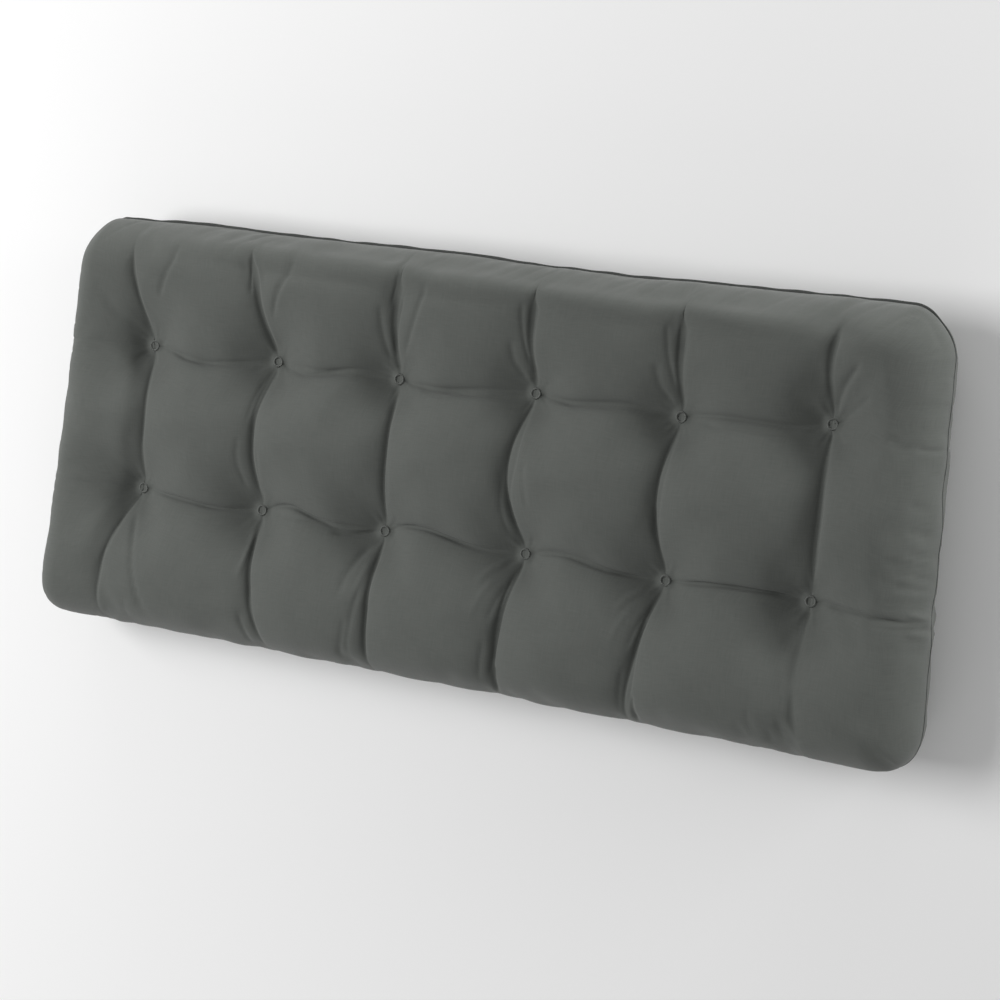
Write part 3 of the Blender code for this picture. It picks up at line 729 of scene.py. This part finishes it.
def seam_tucks(out_y, from_seam, seam_x, seam_y, random):
    """How deep the small tucks are that run in from the seam, where the panels were eased together."""
    wave = ripples(seam_x + TUCK_LEAN * from_seam * out_y, seam_y, TUCK_LENGTHS, TUCK_WAVES, random)
    patches = smooth(0.5 + 0.5 * ripples(seam_x, seam_y, TUCK_PATCH_LENGTHS, TUCK_PATCH_WAVES, random))
    patches = TUCK_PATCH_FLOOR + (1.0 - TUCK_PATCH_FLOOR) * patches
    tucks = np.clip(1.0 - np.abs(wave), 0.0, 1.0) ** TUCK_SHARPNESS
    depth = TUCK_DEPTH * (1.0 - (1.0 - TUCK_BOTTOM_SHARE) * np.maximum(-out_y, 0.0))
    return depth * tucks * patches * bump(from_seam, 0.0, TUCK_REACH)


def fold_relief(side, x, y):
    """How deep all of the folds together press the cloth in."""
    depth = np.zeros_like(x)
    tufts = np.stack(tuft_places(), axis=-1)
    for row, folds in enumerate(FOLDS):
        for fold in folds:
            for column in fold.columns:
                depth += fold_depth(fold, tufts[row, column], x, y)
    return depth * (1.0 if side > 0 else BACK_FOLDS)


def dressed_panel(side, settled):
    """One panel's points with all of the cloth's relief. settled is how far the simulation moved them."""
    random = np.random.default_rng(SEED)
    plain = panel_points(side)
    points = plain + settled
    x, y = plain[..., 0], plain[..., 1]
    normals = grid_normals(points, side)
    out_x, out_y, from_seam, seam_x, seam_y = rim_places(plain)
    outward = seam_shift(side, out_y, from_seam, seam_x, seam_y, random)
    relief = LUMP_DEPTH * ripples(x, y, LUMP_LENGTHS, LUMP_WAVES, random)
    relief += GATHER_DEPTH * gathers(x, y, random)
    relief -= fold_relief(side, x, y)
    relief *= smooth(from_seam / FOLD_HOLD)
    relief -= seam_tucks(out_y, from_seam, seam_x, seam_y, random) * smooth(from_seam / TUCK_HOLD)
    for tuft_x, tuft_y in each_tuft():
        away = np.hypot(x - tuft_x, y - tuft_y)
        relief += TUFT_PAD * np.exp(-((away / TUFT_PAD_REACH) ** TUFT_PAD_POWER))
    points = points + normals * relief[..., None]
    points[..., 0] += out_x * outward
    points[..., 1] += out_y * outward
    points[..., 2] = np.maximum(points[..., 2], 0.0)
    return points


# ---- The mesh ----


def row_lengths(points):
    """How far along the cloth each point is from the middle of its row."""
    step = np.linalg.norm(np.diff(points, axis=1), axis=2)
    along = np.concatenate([np.zeros((len(points), 1)), np.cumsum(step, axis=1)], axis=1)
    return along - along[:, along.shape[1] // 2][:, None]


def thread_lengths(points):
    """How far along the cloth each point of a panel is: along its rows and along its columns."""
    return np.stack([row_lengths(points), row_lengths(points.swapaxes(0, 1)).T], axis=-1)


def back_cells(rows, columns, step):
    """The back panel's faces as (row, column) pairs, with the points of every line at the rim."""
    cells = []
    for row in range(0, rows - 1, step):
        for column in range(0, columns - 1, step):
            left = [(r, column) for r in range(row, row + step)] if column == 0 else [(row, column)]
            top = [(row + step, c) for c in range(column, column + step)]
            if row + step < rows - 1:
                top = top[:1]
            right = [(r, column + step) for r in range(row + step, row, -1)]
            if column + step < columns - 1:
                right = right[:1]
            bottom = [(row, c) for c in range(column + step, column, -1)]
            if row > 0:
                bottom = bottom[:1]
            cells.append(left + top + right + bottom)
    return cells


def sewn_mesh(name, front, back, step):
    """One closed mesh of a front and a back panel that share the points of their rims."""
    rows, columns = front.shape[:2]
    front_numbers = np.arange(rows * columns).reshape(rows, columns)
    back_numbers = front_numbers.copy()
    inner_rows = np.arange(step, rows - 1, step)
    inner_columns = np.arange(step, columns - 1, step)
    inner = np.ix_(inner_rows, inner_columns)
    count = len(inner_rows) * len(inner_columns)
    back_numbers[inner] = rows * columns + np.arange(count).reshape(len(inner_rows), -1)

    quads = [front_numbers[:-1, :-1], front_numbers[:-1, 1:], front_numbers[1:, 1:], front_numbers[1:, :-1]]
    faces = np.stack(quads, axis=-1).reshape(-1, 4)
    places = thread_lengths(front).reshape(-1, 2)[faces].reshape(-1, 2).tolist()
    faces = faces.tolist()
    back_places = thread_lengths(back)
    for cell in back_cells(rows, columns, step):
        faces.append([int(back_numbers[place]) for place in cell])
        places.extend(back_places[place].tolist() for place in cell)

    points = np.concatenate([front.reshape(-1, 3), back[inner].reshape(-1, 3)])
    mesh = bpy.data.meshes.new(name)
    mesh.from_pydata(points.tolist(), [], faces)
    mesh.uv_layers.new(name="weave").data.foreach_set("uv", np.array(places, dtype=np.float32).ravel())
    mesh.shade_smooth()
    mesh.update()
    return mesh, front_numbers, back_numbers


def add_object(name, data):
    made = bpy.data.objects.new(name, data)
    bpy.context.scene.collection.objects.link(made)
    return made


# ---- The cloth simulation ----


def pin_weights(points):
    """How firmly each point of a coarse panel is held: fully at tufts, at the seam and on the floor."""
    x, y, flank_x, flank_y = lattice_grid(SETTLE_STEP)
    on_column = np.min([np.abs(x - line) for line in LATTICE_X], axis=0) < MM
    on_row = np.min([np.abs(y - line) for line in LATTICE_Y], axis=0) < MM
    at_rim = np.maximum(np.abs(flank_x), np.abs(flank_y)) > 1.0 - TINY
    on_floor = points[..., 2] < MM
    weights = np.where(on_column | on_row, SETTLE_PIN_CREASE, 0.0)
    weights[(on_column & on_row) | at_rim | on_floor] = 1.0
    return weights


def settled_shifts():
    """How far a cloth simulation moves the points of the front and of the back panel."""
    front, back = panel_points(1), panel_points(-1)
    coarse = [panel[::SETTLE_STEP, ::SETTLE_STEP] for panel in (front, back)]
    mesh, *panel_numbers = sewn_mesh("settling_cloth", *coarse, 1)
    settling = add_object("settling_cloth", mesh)
    pins = settling.vertex_groups.new(name="pins")
    for panel, numbers in zip(coarse, panel_numbers):
        for number, weight in zip(numbers.flat, pin_weights(panel).flat):
            if weight > 0:
                pins.add([int(number)], float(weight), "REPLACE")

    cloth = settling.modifiers.new("cloth", "CLOTH")
    settings = cloth.settings
    settings.quality = 6
    settings.mass = 0.2
    settings.tension_stiffness = 12.0
    settings.compression_stiffness = 12.0
    settings.shear_stiffness = 4.0
    settings.bending_stiffness = 0.15
    settings.use_pressure = True
    settings.uniform_pressure_force = SETTLE_PRESSURE
    settings.shrink_min = SETTLE_SHRINK
    settings.vertex_group_mass = "pins"
    settings.pin_stiffness = 2.0
    settings.effector_weights.gravity = 0.0
    scene = bpy.context.scene
    for frame in range(1, SETTLE_FRAMES + 1):
        scene.frame_set(frame)
    evaluated = settling.evaluated_get(bpy.context.evaluated_depsgraph_get())
    moved = np.empty(len(mesh.vertices) * 3, dtype=np.float32)
    evaluated.data.vertices.foreach_get("co", moved)
    moved = moved.reshape(-1, 3).astype(float)
    scene.frame_set(1)
    bpy.data.objects.remove(settling)
    bpy.data.meshes.remove(mesh)

    shifts = []
    for panel, fine, numbers in zip(coarse, (front, back), panel_numbers):
        shift = moved[numbers] - panel
        length = np.linalg.norm(shift, axis=2, keepdims=True)
        shift *= SETTLE_CAP / (SETTLE_CAP + length)
        shifts.append(spread_out(shift, fine.shape[:2]))
    return shifts


def spread_out(coarse, shape):
    """Coarse vectors brought on to the fine grid, and smoothed so that the coarse cells don't show."""
    rows = np.linspace(0, coarse.shape[0] - 1, shape[0])
    columns = np.linspace(0, coarse.shape[1] - 1, shape[1])
    fine = np.empty((*shape, 3))
    for axis in range(3):
        by_row = [np.interp(columns, np.arange(coarse.shape[1]), line) for line in coarse[..., axis]]
        by_column = [np.interp(rows, np.arange(coarse.shape[0]), line) for line in np.transpose(by_row)]
        fine[..., axis] = np.transpose(by_column)
    for _ in range(2 * SETTLE_STEP):
        inner = fine[1:-1, 1:-1] * 2.0 + fine[:-2, 1:-1] + fine[2:, 1:-1] + fine[1:-1, :-2] + fine[1:-1, 2:]
        fine[1:-1, 1:-1] = inner / 6.0
    return fine


# ---- Materials ----


class Nodes:
    """A short way to build a material's node tree."""

    def __init__(self, material):
        material.use_nodes = True
        self.tree = material.node_tree
        self.shader = self.tree.nodes["Principled BSDF"]

    def add(self, kind, **settings):
        node = self.tree.nodes.new(kind)
        for name, value in settings.items():
            setattr(node, name, value)
        return node

    def link(self, source, target):
        self.tree.links.new(source, target)

    def set(self, name, value):
        self.shader.inputs[name].default_value = value

    def math(self, operation, first, second=None):
        node = self.add("ShaderNodeMath", operation=operation)
        for socket, value in zip(node.inputs, (first, second)):
            if isinstance(value, (int, float)):
                socket.default_value = value
            elif value is not None:
                self.link(value, socket)
        return node.outputs[0]

    def noise(self, coordinates, scale, detail):
        node = self.add("ShaderNodeTexNoise")
        node.inputs["Scale"].default_value = scale
        node.inputs["Detail"].default_value = detail
        self.link(coordinates, node.inputs["Vector"])
        return node.outputs["Fac"]

    def scaled(self, coordinates, x, y):
        node = self.add("ShaderNodeMapping")
        node.inputs["Scale"].default_value = (x, y, 1.0)
        self.link(coordinates, node.inputs["Vector"])
        return node.outputs["Vector"]


def cloth_material():
    """Matte charcoal plain weave: threads over and under, with slubs, and a little uneven in its dye."""
    material = bpy.data.materials.new("charcoal_cloth")
    nodes = Nodes(material)
    weave = nodes.add("ShaderNodeUVMap", uv_map="weave").outputs["UV"]
    split = nodes.add("ShaderNodeSeparateXYZ")
    nodes.link(weave, split.inputs[0])
    turn = math.pi / THREAD_PITCH
    along = nodes.math("MULTIPLY", split.outputs[0], turn)
    across = nodes.math("MULTIPLY", split.outputs[1], turn)
    warp_wave = nodes.math("SINE", along)
    weft_wave = nodes.math("SINE", across)
    over = nodes.math("GREATER_THAN", nodes.math("MULTIPLY", warp_wave, weft_wave), 0.0)
    warp_thread = nodes.math("ABSOLUTE", warp_wave)
    weft_thread = nodes.math("ABSOLUTE", weft_wave)
    height = nodes.add("ShaderNodeMix", data_type="FLOAT")
    nodes.link(over, height.inputs[0])
    nodes.link(warp_thread, height.inputs[2])
    nodes.link(weft_thread, height.inputs[3])
    thread_height = height.outputs[0]

    long_scale = 1.0 / SLUB_LENGTH
    fine_scale = 1.0 / THREAD_PITCH
    warp_slubs = nodes.noise(nodes.scaled(weave, fine_scale, long_scale), 1.0, 2.0)
    weft_slubs = nodes.noise(nodes.scaled(weave, long_scale, fine_scale), 1.0, 2.0)
    slubs = nodes.math("ADD", warp_slubs, weft_slubs)
    dye = nodes.noise(weave, DYE_SCALE, 3.0)

    tone = nodes.math("MULTIPLY", slubs, SLUB_TONE)
    tone = nodes.math("ADD", tone, nodes.math("MULTIPLY", dye, DYE_TONE))
    tone = nodes.math("ADD", tone, nodes.math("MULTIPLY", thread_height, THREAD_TONE))
    ramp = nodes.add("ShaderNodeValToRGB")
    ramp.color_ramp.elements[0].position = 0.45
    ramp.color_ramp.elements[0].color = DARKEST_CLOTH
    ramp.color_ramp.elements[1].position = 1.0
    ramp.color_ramp.elements[1].color = PALEST_CLOTH
    nodes.link(tone, ramp.inputs["Fac"])
    nodes.link(ramp.outputs["Color"], nodes.shader.inputs["Base Color"])
    nodes.set("Roughness", 0.92)
    nodes.set("Specular IOR Level", 0.25)
    nodes.set("Sheen Weight", 0.12)
    nodes.set("Sheen Roughness", 0.5)

    relief = nodes.math("ADD", thread_height, nodes.math("MULTIPLY", slubs, SLUB_HEIGHT))
    weave_bump = nodes.add("ShaderNodeBump")
    weave_bump.inputs["Strength"].default_value = 0.3
    weave_bump.inputs["Distance"].default_value = 0.15 * MM
    nodes.link(relief, weave_bump.inputs["Height"])
    nodes.link(weave_bump.outputs["Normal"], nodes.shader.inputs["Normal"])
    return material


def plain_material(name, colour, sheen=0.0):
    """A matte material of one colour."""
    material = bpy.data.materials.new(name)
    nodes = Nodes(material)
    nodes.set("Base Color", (*colour, 1.0))
    nodes.set("Roughness", 0.8)
    nodes.set("Sheen Weight", sheen)
    return material


def seam_and_painted_shade_material():
    """The close stitches of the seam, darker than the cloth. The dark colour is partly painted shade: it
    stands for the shade in the seam's groove and on the back panel beyond it.
    """
    return plain_material("seam_thread_and_painted_shade", (0.036, 0.039, 0.036))


def thread_material():
    """Charcoal sewing thread, a little paler and smoother than the cloth. The paler colour is painted light,
    which offsets the shade between its windings and under the ring.
    """
    return plain_material("charcoal_thread", (0.150, 0.158, 0.147), sheen=0.15)


def floor_material():
    return plain_material("pale_floor", (0.9, 0.9, 0.9))


# ---- The pieces ----


def make_cushion():
    """The cloth. Gives back the points of its front, for the seam."""
    front_shift, back_shift = settled_shifts()
    front, back = dressed_panel(1, front_shift), dressed_panel(-1, back_shift)
    mesh = sewn_mesh("cushion_cloth", front, back, BACK_STEP)[0]
    mesh.materials.append(cloth_material())
    cushion = add_object("cushion_cloth", mesh)
    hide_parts("cushion_body")
    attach(cushion, "root")
    return front


def make_seam(front):
    """The sewn edge itself, a narrow line of stitches that runs all round the rim. Its dark colour, and its
    greater width along the top edge, are partly painted shade of the seam's groove and of the back panel
    beyond it.
    """
    rim = np.concatenate([front[0, :-1], front[:-1, -1], front[-1, :0:-1], front[:0:-1, 0]])
    random = np.random.default_rng(SEED + 2)
    uneven = ripples(rim[:, 0], rim[:, 1], SEAM_UNEVEN_LENGTHS, SEAM_UNEVEN_WAVES, random)
    uneven = np.clip(uneven, -SEAM_UNEVEN_LIMIT, SEAM_UNEVEN_LIMIT)
    on_top_edge = np.maximum(-way_along(rim)[:, 0], 0.0)  # the rim runs towards -X there
    # The dark seam is widest along the top edge: painted shade of the groove and of the back panel beyond it
    width = SEAM_WIDTH + (SEAM_TOP_PAINTED_SHADE_WIDTH - SEAM_WIDTH) * on_top_edge**2
    width *= 1.0 + SEAM_UNEVEN * uneven
    mesh = tube_mesh("rim_seam_and_painted_shade", rim, width, SEAM_THICKNESS, SEAM_SIDES)
    mesh.materials.append(seam_and_painted_shade_material())
    seam = add_object("rim_seam_and_painted_shade", mesh)
    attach(seam, "root")


def ring_points(random):
    """The middle line of one thread that is wound round and round a ring."""
    steps = RING_TURNS * RING_STEPS
    share = np.arange(steps) / steps
    uneven = ripples(share, np.zeros(steps), RING_UNEVEN_LENGTHS, RING_UNEVEN_WAVES, random)
    wind = 2.0 * np.pi * share * RING_TURNS
    round_angle = 2.0 * np.pi * share
    radius = RING_RADIUS + RING_THICKNESS * np.cos(wind) * (1.0 + RING_UNEVEN * uneven)
    z = RING_THICKNESS * np.sin(wind) * (1.0 + RING_UNEVEN * uneven)
    return np.stack([radius * np.cos(round_angle), radius * np.sin(round_angle), z], axis=-1)


def way_along(line):
    """The direction of a closed line at each of its points."""
    return unit(np.roll(line, -1, axis=0) - np.roll(line, 1, axis=0))


def tube_mesh(name, line, width, thickness, sides):
    """A closed tube along a closed line that runs round the Z axis. Its section is an ellipse."""
    way = way_along(line)
    outward = unit(line * np.array([1.0, 1.0, 0.0]))
    first = unit(np.cross(way, outward))
    second = np.cross(way, first)
    width = np.broadcast_to(width, len(line))[:, None]
    turns = np.arange(sides) / sides * 2.0 * np.pi
    rings = [line + first * thickness * math.cos(turn) + second * width * math.sin(turn) for turn in turns]
    points = np.stack(rings, axis=1).reshape(-1, 3)
    count = len(line)
    faces = []
    for step in range(count):
        here, there = step * sides, (step + 1) % count * sides
        for side in range(sides):
            following = (side + 1) % sides
            faces.append((here + side, here + following, there + following, there + side))
    mesh = bpy.data.meshes.new(name)
    mesh.from_pydata(points.tolist(), [], faces)
    mesh.shade_smooth()
    return mesh


def make_tacks():
    """A stitched ring for each tack on the front, and one at the other end of its thread on the back."""
    random = np.random.default_rng(SEED + 1)
    material = thread_material()
    names = [f"tack_{row}_{number}" for row in ("low", "high") for number in range(1, 7)]
    for name in names:
        low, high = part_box(name)
        middle = (Vector(low) + Vector(high)) / 2.0
        mesh = tube_mesh(f"stitches_{name}", ring_points(random), THREAD_RADIUS, THREAD_RADIUS, THREAD_SIDES)
        mesh.materials.append(material)
        ring = add_object(f"stitches_{name}", mesh)
        ring.location = middle
        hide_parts(name)
        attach(ring, "root")
        under = add_object(f"stitches_{name}_back", mesh)
        under.location = (middle.x, middle.y, SEAM_HEIGHT - BACK_SEAT - RING_LIFT)
        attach(under, "root")


def make_floor():
    bpy.ops.mesh.primitive_plane_add(size=FLOOR_SIZE, location=(0.0, 0.0, -FLOOR_GAP))
    floor = bpy.context.object
    floor.name = "floor"
    floor.data.materials.append(floor_material())


def make_camera():
    data = bpy.data.cameras.new("camera")
    data.lens = CAMERA_LENS
    data.sensor_width = CAMERA_SENSOR
    camera = add_object("camera", data)
    axes = Matrix((CAMERA_RIGHT, CAMERA_UP, CAMERA_RIGHT.cross(CAMERA_UP)))
    camera.rotation_euler = axes.transposed().to_euler()
    camera.location = CAMERA_PLACE
    bpy.context.scene.camera = camera


def add_lamp(lamp):
    data = bpy.data.lights.new(lamp.name, "AREA")
    data.shape = "RECTANGLE"
    data.size = lamp.width
    data.size_y = lamp.height
    data.energy = lamp.power
    light = add_object(lamp.name, data)
    light.location = lamp.place
    light.rotation_euler = (Vector(lamp.target) - Vector(lamp.place)).to_track_quat("-Z", "Y").to_euler()


def light_studio():
    """The lamps, in a white room."""
    world = bpy.data.worlds.new("studio")
    world.use_nodes = True
    sky = world.node_tree.nodes["Background"]
    sky.inputs["Color"].default_value = (1.0, 1.0, 1.0, 1.0)
    sky.inputs["Strength"].default_value = ROOM_LIGHT
    bpy.context.scene.world = world
    for lamp in LAMPS:
        add_lamp(lamp)
    bpy.context.scene.view_settings.view_transform = "Standard"


def main():
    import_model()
    make_seam(make_cushion())
    make_tacks()
    make_floor()
    make_camera()
    light_studio()


main()
